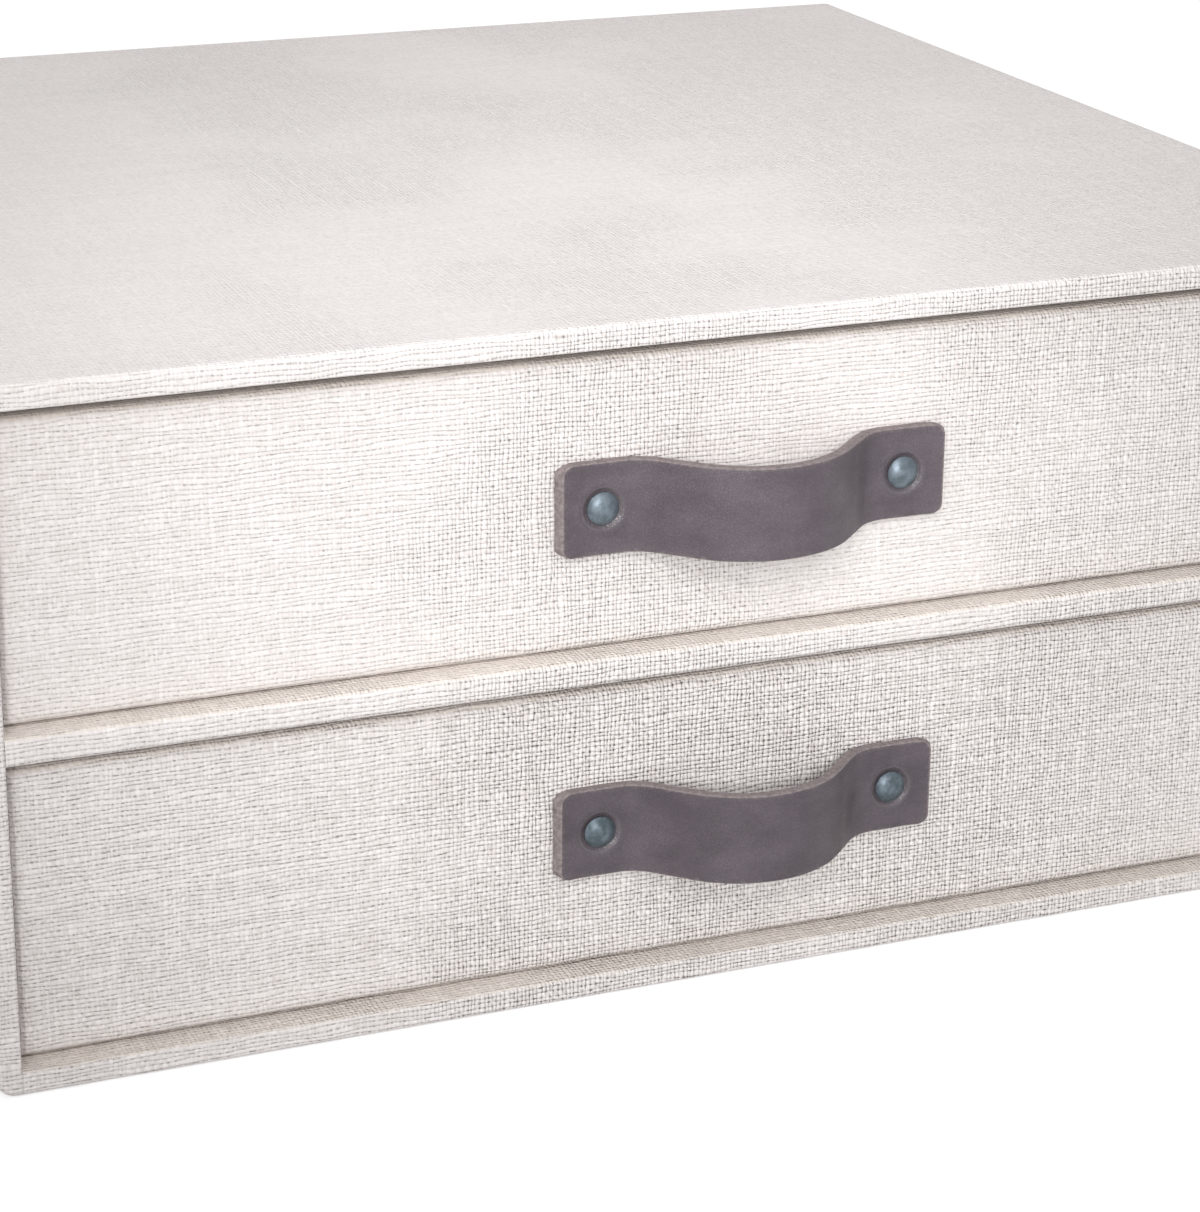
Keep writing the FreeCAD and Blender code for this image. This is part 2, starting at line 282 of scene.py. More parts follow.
print("Gaps are holes, weft furrows and warp furrows")

# %% [markdown]
# The whole weave is one group, so that every piece of cloth shares it. It gives the yarns' height for the
# bump, their tone, and the share of painted shade in the gaps. Yarns swell into slubs and differ a little in
# tone. In open patches, some ninety yarns wide, warp and weft share the surface; elsewhere the weft covers
# more of it.


# %% The weave as a shader group
def make_plain_weave():
    tree, given, out = new_group(
        "Plain weave",
        {"Across": 0.0, "Along": 0.0, "Warp spacing": 0.93 * MM, "Weft spacing": 1.04 * MM,
         "Wander": 1.7, "Slubs": 0.45, "Seed": 0.0},
        {"Height": 0.0, "Tone": 0.0, "Gap": 0.0})
    seed = given["Seed"]
    across = given["Across"] / given["Warp spacing"]
    along = given["Along"] / given["Weft spacing"]
    x, y = wander(tree, across, along, given["Wander"], seed)
    column, from_column = in_cell(x)
    row, from_row = in_cell(y)

    # The chessboard: +1 where the warp is on top, -1 where the weft is. Outside open patches it is flatter.
    board = (column + row).math("FLOORED_MODULO", 2.0) * 2.0 - 1.0
    bead = dice(tree, vector(tree, column, row, seed + 3.0)) - 0.5
    drift = noise(tree, vector(tree, across * 0.011, along * 0.011, seed + 60.0), detail=2.0)
    patch = (drift - given["Across"] * 1.1).smooth(0.40, 0.62, 1.0, 0.0)
    sway = patch * 0.5 + 0.5

    def yarn(offset, along_offset, side, index, place, width, salt):
        """The height and tone of one family's yarn at this point."""
        swell = noise(tree, vector(tree, index * 3.7, place * 0.16, seed + salt), detail=1.0) - 0.5
        edge = offset * 2.0 / (swell * given["Slubs"] + width)
        round_top = (edge * edge).opposite().math("MAXIMUM", 0.0).math("SQRT")
        lift = (along_offset * math.pi).math("COSINE") * side * sway
        strand_place = vector(tree, place * 0.8, (index + offset) * 2.6, seed + salt)
        strands = noise(tree, strand_place, detail=1.0) - 0.5
        own = (dice(tree, vector(tree, index, salt, seed)) - 0.5) * 0.45
        return round_top * 0.58 + lift * 0.42, own + swell * 1.1 + bead * 0.5 + strands * 0.7

    warp, warp_tone = yarn(from_column, from_row, board, column, y, 0.84, 1.0)
    weft, weft_tone = yarn(from_row, from_column, board * -1.0, row, x, 0.92, 9.0)
    weft = weft + patch.opposite() * 0.16
    top = warp.math("MAXIMUM", weft)

    # Each float is lighter towards one corner of its square: painted shading for light on the spun yarn, and
    # the same slant also tilts the bump.
    firm = dice(tree, vector(tree, column, row, seed + 8.0)) * 1.7
    twist_shading = ((x + y) * math.pi).math("COSINE") * (patch * 0.36 + 0.08) * firm
    tone = between(tree, warp.math("GREATER_THAN", weft), weft_tone, warp_tone)
    gap = dark_gaps(tree, x, y, from_column, from_row, top, patch, seed)
    plug(tone - twist_shading, out["Tone"])
    plug(gap.math("MINIMUM", 1.0), out["Gap"])
    plug(top - gap * 0.4 - twist_shading * 0.5, out["Height"])
    return tree


plain_weave = make_plain_weave()
print("Plain weave:", len(plain_weave.nodes), "nodes")

# %% [markdown]
# A flat pattern needs two directions along the surface. The cloth is glued round boards whose faces look
# along X, Y or Z, so the normal says which two coordinates to use. The yarns that run front to back on the
# top go on front to back down the sides, as one piece of cloth does. Lid marks the outside of the top, where
# the weave is drawn faintest, a painted wash-out by the bright light. Ledge marks upward faces lower down,
# such as drawer rims, where the cloth gets a warm tint of painted bounce light.


# %% Directions along the cloth
LID_BAND = 8.0 * MM
box_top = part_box("outer_cloth")[1][2]


def make_cloth_directions():
    tree, given, out = new_group(
        "Cloth directions", {"Position": "Vector", "Normal": "Vector"},
        {"Across": 0.0, "Along": 0.0, "Lid": 0.0, "Ledge": 0.0})
    x, y, z = parts_of(given["Position"])
    facing = parts_of(given["Normal"])
    face_x, face_y, face_z = [value.math("ABSOLUTE") for value in facing]
    on_side = face_x.math("GREATER_THAN", face_y.math("MAXIMUM", face_z))
    on_top = face_z.math("GREATER_THAN", face_x.math("MAXIMUM", face_y))
    plug(between(tree, on_side, x, z), out["Across"])
    plug(between(tree, on_side.math("MAXIMUM", on_top), z, y), out["Along"])
    upward = facing[2].math("GREATER_THAN", 0.7)
    high = z.math("GREATER_THAN", box_top - LID_BAND)
    plug(upward * high, out["Lid"])
    plug(upward * high.opposite(), out["Ledge"])
    return tree


cloth_directions = make_cloth_directions()
print("Cloth directions:", len(cloth_directions.nodes), "nodes")

# %% [markdown]
# ## Finishes
# Every finish starts and ends in the same way: a material with its Principled shader and the object's own
# coordinates, and at the end a bump. Object coordinates stay with a piece when it moves, so no pattern
# slides over it. Some finishes differ between the two drawers, and the shelf is where they change.


# %% The start and the end of every finish
shelf_low, shelf_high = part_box("shelf_board")
SHELF_MIDDLE = (shelf_low[2] + shelf_high[2]) / 2


def new_material(name):
    """A material, its node tree and its Principled shader."""
    material = bpy.data.materials.new(name)
    material.use_nodes = True
    return material, material.node_tree, material.node_tree.nodes["Principled BSDF"]


def coordinates(tree, kind="Object"):
    """The object's own coordinates, or its normal."""
    return Wire(tree, place_node(tree, "ShaderNodeTexCoord").outputs[kind])


def on_upper_drawer(where):
    """1 above the shelf and 0 below it."""
    return parts_of(where)[2].smooth(SHELF_MIDDLE - 4.0 * MM, SHELF_MIDDLE + 4.0 * MM)


def bump(tree, height, depth, shader):
    """Tilts the surface's normal by a height pattern that is depth metres high."""
    node = place_node(tree, "ShaderNodeBump", Strength=1.0, Distance=depth, Height=height)
    tree.links.new(node.outputs[0], shader.inputs["Normal"])


print("The shelf's middle is", round(SHELF_MIDDLE / MM, 1), "mm up")

# %% [markdown]
# The case's cloth is cut from a few pieces, and the piece under the base butts the one over the sides. Their
# edges meet on the front rim, in line with the inner face of each side, and leave a fine dark line there.
# The painted gap shade and the yarns' tone fade on the upper drawer and most on the lid, a painted wash-out
# by the bright light there, and they also fade towards the right end.


# %% Natural linen
THREAD_DARK = (0.73, 0.675, 0.652)
THREAD_LIGHT = (0.955, 0.912, 0.897)
# The dark colour in the gaps between yarns is painted shade.
PAINTED_GAP_SHADE = (0.20, 0.18, 0.165)
# A warm tint of painted bounce light for upward faces below the lid.
PAINTED_BOUNCE_TINT = (1.0, 0.975, 0.93)
THREAD_RELIEF = 0.32 * MM
RIM_DEPTH = 3.0 * MM
seam_low, seam_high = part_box("base_cloth")


def butt_seam(x, y, z):
    """The dark line on the front rim where the base's cloth meets the sides' cloth."""
    line = (x.math("ABSOLUTE") - seam_high[0]).math("ABSOLUTE").smooth(0.05 * MM, 0.3 * MM, 0.3, 0.0)
    low_down = z.math("LESS_THAN", seam_high[2])
    return line * low_down * y.math("LESS_THAN", seam_low[1] + RIM_DEPTH)


def weave_contrast(x, z, lid):
    """How clearly the weave shows: less on the upper drawer and towards the right end, and least on the lid;
    on the upper drawer and the lid this is a painted wash-out by the bright light.
    """
    # A painted wash-out: the bright light pales the weave on the upper drawer and the lid.
    upper = z.smooth(SHELF_MIDDLE - 8.0 * MM, SHELF_MIDDLE + 10.0 * MM)
    faded = upper.math("MAXIMUM", x.smooth(40.0 * MM, 120.0 * MM) * 0.8)
    return faded * -0.33 + lid * -0.27 + 1.1


def make_linen():
    material, tree, shader = new_material("Natural linen")
    where = coordinates(tree)
    way = use_group(tree, cloth_directions, Position=where, Normal=coordinates(tree, "Normal"))
    weave = use_group(tree, plain_weave, Across=way["Across"], Along=way["Along"])
    x, y, z = parts_of(where)
    contrast = weave_contrast(x, z, way["Lid"])
    cloud = noise(tree, where, scale=22.0, detail=3.0) - 0.5
    shade = ((weave["Tone"] * 0.55 + cloud * 0.3) * contrast + 0.6).smooth(-0.1, 1.1)
    yarn = blend(tree, shade, THREAD_DARK, THREAD_LIGHT)
    gap = (weave["Gap"] * contrast).math("MAXIMUM", butt_seam(x, y, z))
    # The gaps between yarns are filled with painted shade; the seam's line is a dark joint.
    cloth = blend(tree, gap, yarn, PAINTED_GAP_SHADE)
    # Upward faces below the lid get the warm tint of painted bounce light.
    plug(blend(tree, way["Ledge"], cloth, PAINTED_BOUNCE_TINT, "MULTIPLY"), shader.inputs["Base Color"])
    shader.inputs["Roughness"].default_value = 0.88
    shader.inputs["Specular IOR Level"].default_value = 0.25
    bump(tree, weave["Height"] * contrast, THREAD_RELIEF, shader)
    return material


linen = make_linen()
print("Made", linen.name)

# %% [markdown]
# ## Papers and boards
# The bays and drawers are lined with uncoated paper, and the drawers' outsides are covered with it. Behind
# both is raw fibreboard, which only shows at an edge. Papers and boards are felted fibres, so they share one
# group: short strands lying in every direction, made by stretching a noise along three directions, and a
# slower mottle where the felt is thicker or thinner.


# %% Felted fibres as a shader group
def make_felt():
    tree, given, out = new_group(
        "Felted fibres", {"Position": "Vector", "Fibre length": 3.0 * MM, "Fibre width": 0.25 * MM},
        {"Strands": 0.0, "Mottle": 0.0})
    x, y, z = parts_of(given["Position"])
    length = given["Fibre length"]
    width = given["Fibre width"]
    layers = []
    for first, second, third in ((x, y, z), (y, z, x), (z, x, y)):
        lean = first + second * 0.6
        cross = second - first * 0.6
        layers.append(noise(tree, vector(tree, lean / length, cross / width, third / width), detail=2.0))
    plug(layers[0].math("MAXIMUM", layers[1]).math("MAXIMUM", layers[2]), out["Strands"])
    plug(noise(tree, given["Position"], scale=60.0, detail=5.0, roughness=0.6), out["Mottle"])
    return tree


felted_fibres = make_felt()
print("Felted fibres:", len(felted_fibres.nodes), "nodes")

# %% [markdown]
# The papers have short fine fibres and pale colours. The boards are brown and coarser, and the drawers' thin
# board is a little finer than the case's.


# %% Two papers and two boards
def make_felted(name, dark, light, roughness, fibre, relief):
    """A paper or a board. Its fibres' length and width and its relief are in millimetres."""
    material, tree, shader = new_material(name)
    length, width = fibre
    felt = use_group(
        tree, felted_fibres, Position=coordinates(tree), Fibre_length=length * MM, Fibre_width=width * MM)
    shade = (felt["Strands"] * 0.9 + felt["Mottle"] * 0.7).smooth(0.45, 1.25)
    plug(blend(tree, shade, dark, light), shader.inputs["Base Color"])
    plug(felt["Strands"] * -0.12 + (roughness + 0.06), shader.inputs["Roughness"])
    shader.inputs["Specular IOR Level"].default_value = 0.3
    bump(tree, felt["Strands"] + felt["Mottle"] * 0.5, relief * MM, shader)
    return material


cover_paper = make_felted(
    "Cover paper", (0.66, 0.61, 0.54), (0.82, 0.78, 0.71), 0.82, (2.2, 0.20), 0.05)
lining_paper = make_felted(
    "Lining paper", (0.78, 0.75, 0.69), (0.90, 0.875, 0.82), 0.78, (1.8, 0.16), 0.04)
case_fibreboard = make_felted(
    "Outer fibreboard", (0.25, 0.165, 0.095), (0.52, 0.40, 0.27), 0.9, (4.5, 0.45), 0.14)
drawer_fibreboard = make_felted(
    "Drawer fibreboard", (0.29, 0.20, 0.12), (0.56, 0.43, 0.29), 0.9, (3.5, 0.38), 0.12)
print("Made", cover_paper.name, lining_paper.name, case_fibreboard.name, drawer_fibreboard.name)

# %% [markdown]
# ## Leather
# The pulls are thick dark leather, cut from a side, so the face has grain and the cut edges show the paler
# raw hide. Wax and handling leave soft clouds, and in a band beside one bend the face is paler, a painted
# reflection of light. The strap below stores where each point was on the flat blank, so the grain bends with
# the leather. The two straps are cut from different parts of the side, so their clouds fall in other places,
# and the upper one is painted a little lighter, standing in for the brighter light on the upper drawer.


# %% Strap leather
FACE_DARK = (0.080, 0.064, 0.077)
FACE_LIGHT = (0.139, 0.116, 0.134)
GRAIN_SHADOW = (0.04, 0.03, 0.033)
# A paler colour for a band of painted reflection beside a bend.
PAINTED_REFLECTION = (0.20, 0.165, 0.155)
# A lighter colour for a painted highlight on the ring round each rivet.
PAINTED_RIM_HIGHLIGHT = (0.20, 0.18, 0.19)
RAW_DARK = (0.16, 0.13, 0.132)
RAW_LIGHT = (0.33, 0.28, 0.28)
LEATHER_RELIEF = 0.09 * MM


def stored(tree, name):
    """A vector that the mesh keeps for every point."""
    return Wire(tree, place_node(tree, "ShaderNodeAttribute", {"attribute_name": name}).outputs["Vector"])


def make_leather():
    material, tree, shader = new_material("Dark waxed leather")
    blank = stored(tree, "blank")
    along, across, depth = parts_of(blank)
    bend, from_outline, from_rivet = parts_of(stored(tree, "marks"))
    upper = on_upper_drawer(coordinates(tree))

    # The waxed face, with its stretched band and the ring polished round each rivet's head.
    cells = place_node(
        tree, "ShaderNodeTexVoronoi", {"feature": "DISTANCE_TO_EDGE"}, Vector=blank, Scale=1500.0)
    grain = Wire(tree, cells.outputs["Distance"]).smooth(0.02, 0.22)
    pores = noise(tree, blank, scale=2600.0, detail=2.0)
    cloud_place = vector(tree, along, across * 1.6, depth + upper)
    cloud = noise(tree, cloud_place, scale=70.0, detail=4.0, roughness=0.6)
    # The waxed face, with a paler band of painted reflection, and the glossier ring round each rivet's head,
    # whose lighter colour is a painted highlight.
    streaks = noise(tree, vector(tree, along * 0.35, across * 2.2, depth), scale=420.0, detail=3.0)
    pressed = from_rivet.smooth(3.4 * MM, 4.0 * MM) * from_rivet.smooth(4.3 * MM, 5.2 * MM, 1.0, 0.0)
    # The upper strap is painted lighter, standing in for the brighter light on the upper drawer.
    face = blend(tree, cloud.smooth(0.25, 0.75) + upper * 0.36 - 0.27, FACE_DARK, FACE_LIGHT)
    face = blend(tree, grain * -0.35 + 0.35, face, GRAIN_SHADOW)
    # A band of painted reflection just past the right foot's bend.
    face = blend(tree, bend * streaks.smooth(0.3, 0.75) * 0.35, face, PAINTED_REFLECTION)
    # The ring round each rivet is lightened by a painted highlight; its lower roughness is real gloss.
    face = blend(tree, pressed * 0.3, face, PAINTED_RIM_HIGHLIGHT)

    # Raw hide shows on the cut edge, in the worn border beside it and on the back.
    fuzz = noise(tree, blank, scale=900.0, detail=4.0, roughness=0.7)
    cut = from_outline.smooth(0.15 * MM, 0.42 * MM, 1.0, 0.0)
    worn = from_outline.smooth(0.3 * MM, 1.3 * MM, 1.0, 0.0) * fuzz.smooth(0.4, 0.75) * 0.4
    under = depth.smooth(-0.9 * MM, -1.15 * MM)
    bare = cut.math("MAXIMUM", worn).math("MAXIMUM", under)
    raw = blend(tree, fuzz.smooth(0.25, 0.75), RAW_DARK, RAW_LIGHT)
    plug(blend(tree, bare, face, raw), shader.inputs["Base Color"])
    roughness = bare * 0.35 + pores * 0.12 + cloud * 0.12 - pressed * 0.24 + 0.42
    plug(roughness, shader.inputs["Roughness"])
    shader.inputs["Specular IOR Level"].default_value = 0.5
    face_height = grain * 0.5 + pores * 0.25 + cloud * 0.8
    bump(tree, between(tree, bare, face_height, fuzz * 1.8), LEATHER_RELIEF, shader)
    return material


leather = make_leather()
print("Made", leather.name)

# %% [markdown]
# ## Old metal
# The rivets are brass that was blackened chemically, which leaves a blue-green grey skin in blotches. On the
# upper drawer the skin is painted lighter, standing in for the brighter light there. Metallic is partly
# masked:
# the skin is not bare metal.


# %% Rivet metal
SKIN_DARK = (0.066, 0.090, 0.106)
SKIN_LIGHT = (0.195, 0.235, 0.272)
RUBBED_SPECK = (0.30, 0.31, 0.30)
METAL_RELIEF = 0.06 * MM


def make_metal():
    material, tree, shader = new_material("Blackened brass")
    where = coordinates(tree)
    blotch = noise(tree, where, scale=420.0, detail=5.0, roughness=0.65)
    speck = noise(tree, where, scale=2600.0, detail=3.0)
    # On the upper drawer the skin is painted lighter, standing in for the brighter light there.
    tone = blotch.smooth(0.3, 0.7) + on_upper_drawer(where) * 0.45 - 0.25
    skin = blend(tree, tone, SKIN_DARK, SKIN_LIGHT)
    skin = blend(tree, speck.smooth(0.62, 0.8) * 0.4, skin, RUBBED_SPECK)
    plug(skin, shader.inputs["Base Color"])
    plug(blotch * 0.3 + 0.28, shader.inputs["Roughness"])
    plug(blotch.smooth(0.3, 0.7, 0.35, 0.7), shader.inputs["Metallic"])
    bump(tree, blotch + speck * 0.3, METAL_RELIEF, shader)
    return material


metal = make_metal()
print("Made", metal.name)

# %% [markdown]
# ## Dressing the CAD nodes
# The record says which finish each CAD node has, so a loop puts the material on.

# %% Dress the CAD nodes
finishes = {
    "linen_cloth": linen, "strap_leather": leather, "rivet_metal": metal, "cover_paper": cover_paper,
    "lining_paper": lining_paper, "case_fibreboard": case_fibreboard, "drawer_fibreboard": drawer_fibreboard}
for row in frame["record"]["subparts"]:
    for place in nodes[row["node"]].material_slots:
        place.material = finishes[row["material_slot"]]

# %% [markdown]
# ## The strap
# A strap starts as a flat blank with rounded corners, is punched for its rivets and then bent: flat feet on
# the drawer, and an arch that fingers fit behind. It could be modelled bent, but it is easier to make the
# flat blank and to bend it along a line, as the maker does. The line has five corners, and Fillet Curve
# rounds the inner three: the two at the feet with one radius and the crown with a larger one.


# %% The bent line and the flat blank
STRAP = {"Width": 20.0 * MM, "Thickness": 2.5 * MM, "Foot bend": 11.0 * MM, "Crown bend": 23.0 * MM}
BLANK_RINGS = 240
RING_POINTS = 200


def geometry(tree, kind, settings=None, **values):
    """Places a geometry node and gives its first output as a wire."""
    return Wire(tree, place_node(tree, "GeometryNode" + kind, settings, **values).outputs[0])


def bent_line(tree, given):
    """The path with its corners rounded. Corner number 2, in the middle, is the crown."""
    index = geometry(tree, "InputIndex")
    is_crown = (index - 2.0).math("ABSOLUTE").math("LESS_THAN", 0.5)
    radius = between(tree, is_crown, given["Foot bend"], given["Crown bend"])
    return geometry(tree, "FilletCurve", {"mode": "POLY"}, Curve=given["Path"], Count=24, Radius=radius)


def flat_blank(tree, given):
    """A rectangle with rounded edges, drawn along Z from 0 to 1."""
    straight = geometry(tree, "CurvePrimitiveLine", Start=(0, 0, 0), End=(0, 0, 1))
    rings = geometry(tree, "ResampleCurve", Curve=straight, Count=BLANK_RINGS)
    oblong = geometry(tree, "CurvePrimitiveQuadrilateral", Width=given["Width"], Height=given["Thickness"])
    section = geometry(tree, "FilletCurve", {"mode": "POLY"}, Curve=oblong, Count=4, Radius=given["Edge"])
    section = geometry(tree, "ResampleCurve", Curve=section, Count=RING_POINTS)
    return geometry(tree, "CurveToMesh", Curve=rings, Profile_Curve=section, Fill_Caps=True)


print("A blank has", BLANK_RINGS, "rings of", RING_POINTS, "points")

# %% [markdown]
# The blank's ends need round corners too. Each ring near an end is drawn in until the outline follows a
# quarter circle. The distance from the rivet then places the seat under its head. The leather's finish uses
# that distance as well, with the distance from the outline.


# %% Corners, seats and small unevenness
SEAT_RADIUS = 3.6 * MM
SEAT_REACH = 4.7 * MM
RING_HEIGHT = 0.12 * MM
RIPPLE_HEIGHT = 0.22 * MM
CURLED_LENGTH = 6.0 * MM


def rounded_side(value, half, radius, from_end):
    """Draws a half-width in near the blank's end, so that its corner follows a quarter circle."""
    into = ((radius - from_end) / radius).math("MAXIMUM", 0.0)
    keep = (into * into).opposite().math("MAXIMUM", 0.0).math("SQRT")
    size = value.math("ABSOLUTE")
    excess = (size - (half - radius)).math("MAXIMUM", 0.0)
    return (size - excess * keep.opposite()) * value.math("SIGN")


def outline_and_rivet(given, across, from_end):
    """How far each point is from the blank's outline and from the rivet's middle."""
    out_end = (given["Corner"] - from_end).math("MAXIMUM", 0.0)
    out_side = (across.math("ABSOLUTE") - given["Width"] * 0.5 + given["Corner"]).math("MAXIMUM", 0.0)
    from_outline = given["Corner"] - (out_end * out_end + out_side * out_side).math("SQRT")
    to_rivet = from_end - given["Rivet place"]
    return from_outline, (to_rivet * to_rivet + across * across).math("SQRT")


def worked_height(tree, given, along, across, depth, outer, from_end, from_rivet):
    """The height with the rivet's seat, the ring pushed up round it, ripples and the curled ends."""
    seat = from_rivet.smooth(SEAT_RADIUS, SEAT_REACH, 1.0, 0.0) * given["Seat depth"]
    ring = from_rivet.smooth(4.6 * MM, 5.4 * MM) * from_rivet.smooth(5.4 * MM, 6.8 * MM, 1.0, 0.0)
    ripple = noise(tree, vector(tree, along, across, given["Seed"]), scale=90.0, detail=2.0) - 0.5
    lifted = (from_end / CURLED_LENGTH).opposite().math("MAXIMUM", 0.0)
    worked = ripple * RIPPLE_HEIGHT - seat + ring * RING_HEIGHT
    return depth + outer * worked + lifted * lifted * given["Curl"]


print("A rivet's seat is", round(2 * SEAT_RADIUS / MM, 1), "mm across")

# %% [markdown]
# Now the blank is bent. Each point goes to its place along the line, and stands off it by its own height.
# Two stored vectors, blank and marks, stay on the mesh for the leather.


# %% The bent strap as a geometry group
CROWDING = 0.9
# Where the band of painted reflection lies, measured from the strap's right end.
REFLECTION_PLACE = 26.5 * MM


def make_strap_tree():
    tree, given, out = new_group("Bent strap", {
        "Path": "Geometry", **STRAP, "Corner": 2.5 * MM, "Edge": 0.45 * MM, "Rivet place": 9.2 * MM,
        "Seat depth": 0.7 * MM, "Curl": 0.8 * MM, "Slant": 1.1 * MM, "Seed": 0.0, "Leather": "Material"},
        {"Strap": "Geometry"}, "GeometryNodeTree")
    line = bent_line(tree, given)
    length = geometry(tree, "CurveLength", Curve=line)
    half_thick = given["Thickness"] * 0.5

    # Rings crowd towards the ends, where the corners and edges are round.
    across, depth, share = parts_of(geometry(tree, "InputPosition"))
    crowd = (share * (2.0 * math.pi)).math("SINE") * (CROWDING / (2.0 * math.pi))
    along = (share - crowd) * length
    from_end = along.math("MINIMUM", length - along)
    across = rounded_side(across, given["Width"] * 0.5, given["Corner"], from_end)
    depth = rounded_side(depth, half_thick, given["Edge"], from_end)
    from_outline, from_rivet = outline_and_rivet(given, across, from_end)
    outer = (depth / half_thick * 0.5 + 0.5).math("MAXIMUM", 0.0).math("MINIMUM", 1.0)
    high = worked_height(tree, given, along, across, depth, outer, from_end, from_rivet)

    # Bending: out from the line along T x Z, and sideways along Z. The cut ends slant outwards at the back.
    there = place_node(tree, "GeometryNodeSampleCurve", {"mode": "LENGTH"}, Curves=line, Length=along)
    at_x, at_y, at_z = parts_of(Wire(tree, there.outputs["Position"]))
    run_x, run_y = parts_of(Wire(tree, there.outputs["Tangent"]))[:2]
    past_end = from_end.smooth(0.0, 1.8 * MM, 1.0, 0.0) * outer.opposite() * given["Slant"]
    past_end = past_end * (share - 0.5).math("SIGN")
    wave = (noise(tree, vector(tree, along, given["Seed"], 7.0), scale=70.0, detail=2.0) - 0.5) * 0.03 + 1.0
    bent = vector(tree, at_x + run_y * high + past_end, at_y - run_x * high, at_z + across * wave)

    # The face is palest in one band, just past the bend at the right foot: a painted reflection of light.
    reflection_band = (length - along - REFLECTION_PLACE).math("ABSOLUTE").smooth(0.4 * MM, 2.4 * MM, 1.0, 0.0)
    marks = vector(tree, reflection_band, from_outline, from_rivet)
    shape = flat_blank(tree, given)
    for name, value in (("blank", vector(tree, along, across, depth)), ("marks", marks)):
        shape = geometry(
            tree, "StoreNamedAttribute", {"data_type": "FLOAT_VECTOR"},
            Geometry=shape, Name=name, Value=value)
    shape = geometry(tree, "SetPosition", Geometry=shape, Position=bent)
    shape = geometry(tree, "MergeByDistance", Geometry=shape, Distance=0.004 * MM)
    shape = geometry(tree, "SetShadeSmooth", Geometry=shape)
    shape = geometry(tree, "RealizeInstances", Geometry=shape)
    plug(geometry(tree, "SetMaterial", Geometry=shape, Material=given["Leather"]), out["Strap"])
    return tree


strap_tree = make_strap_tree()
print("Bent strap:", len(strap_tree.nodes), "nodes")

# %% [markdown]
# The tree needs an object to run on. After the modifier has run, the result is copied as a plain mesh into a
# new object, and the object that carried the tree is thrown away.


# %% Run a geometry tree and keep the plain mesh
def add_object(name, data):
    """Puts an object with this data into the scene."""
    thing = bpy.data.objects.new(name, data)
    bpy.context.scene.collection.objects.link(thing)
    return thing


def volume_of(mesh):
    """The volume inside a mesh, which is negative when its faces point inwards."""
    shape = bmesh.new()
    shape.from_mesh(mesh)
    volume = shape.calc_volume(signed=True)
    shape.free()
    return volume


def run_tree(name, data, tree, values):
    """Runs a geometry tree on some data with named inputs, and returns an object with the finished mesh."""
    carrier = add_object(name + "_carrier", data)
    modifier = carrier.modifiers.new("shape", "NODES")
    modifier.node_group = tree
    for item in tree.interface.items_tree:
        if item.in_out == "INPUT" and item.name in values:
            modifier[item.identifier] = values[item.name]
    finished = carrier.evaluated_get(bpy.context.evaluated_depsgraph_get())
    mesh = bpy.data.meshes.new_from_object(finished)
    carrier.modifiers.remove(modifier)
    bpy.data.objects.remove(carrier)
    mesh.name = name
    print(name, "has", len(mesh.polygons), "faces, and inside", round(volume_of(mesh) * 1e9), "cubic mm")
    return add_object(name, mesh)


print("run_tree turns a geometry tree into a plain mesh")

# %% [markdown]
# Each strap's line is a curve with the five corners. Its place and its length come from the CAD strap's box.
# Its flanks lie at 45 degrees, so the crown's corner stands out from the feet by as much as the feet's
# corners are from the middle.

# %% The two straps
FOOT_CORNER = 25.73 * MM
for number, drawer in enumerate(("upper_drawer", "lower_drawer")):
    cad_node = drawer.replace("drawer", "handle_strap")
    low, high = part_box(cad_node)
    height = (low[2] + high[2]) / 2
    foot_line = high[1] - STRAP["Thickness"] / 2
    path = bpy.data.curves.new(drawer + "_strap_line", "CURVE")
    path.dimensions = "3D"
    spline = path.splines.new("POLY")
    corners = ((low[0], 0), (-FOOT_CORNER, 0), (0, FOOT_CORNER), (FOOT_CORNER, 0), (high[0], 0))
    spline.points.add(len(corners) - 1)
    for point, (x, out) in zip(spline.points, corners):
        point.co = (x, foot_line - out, height, 1)
    strap_values = {**STRAP, "Seed": 3.0 * number, "Leather": leather}
    strap = run_tree(drawer + "_leather_pull", path, strap_tree, strap_values)
    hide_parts(cad_node)
    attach(strap, drawer)

# %% [markdown]
# ## The rivets
# Each strap is held by two rivets with a low domed head on a thin brim, and a shank that goes through the
# leather and the board to a cap inside. A rivet is shaped from a sphere and a cylinder: the sphere's upper
# half is pressed to a shallow dome, and its lower half to the flat underside of the brim.


# %% The head and the shank
RIVET = {"Head radius": 3.5 * MM, "Dome": 1.6 * MM, "Brim": 0.3 * MM, "Shank radius": 1.5 * MM}


def domed_head(tree, given):
    """A sphere pressed to a shallow dome above and to a flat face below."""
    radius, dome = given["Head radius"], given["Dome"]
    ball = geometry(tree, "MeshUVSphere", Segments=56, Rings=36, Radius=1.0)
    x, y, z = parts_of(geometry(tree, "InputPosition"))
    reach = (x * x + y * y).math("SQRT") * radius
    bow = (radius * radius + dome * dome) / (dome * 2.0)
    rise = (bow * bow - reach * reach).math("MAXIMUM", 0.0).math("SQRT") - bow + dome
    level = between(tree, z.math("GREATER_THAN", -0.001), given["Brim"] * -1.0, rise)
    place = vector(tree, x * radius, y * radius, level)
    return geometry(tree, "SetPosition", Geometry=ball, Position=place)


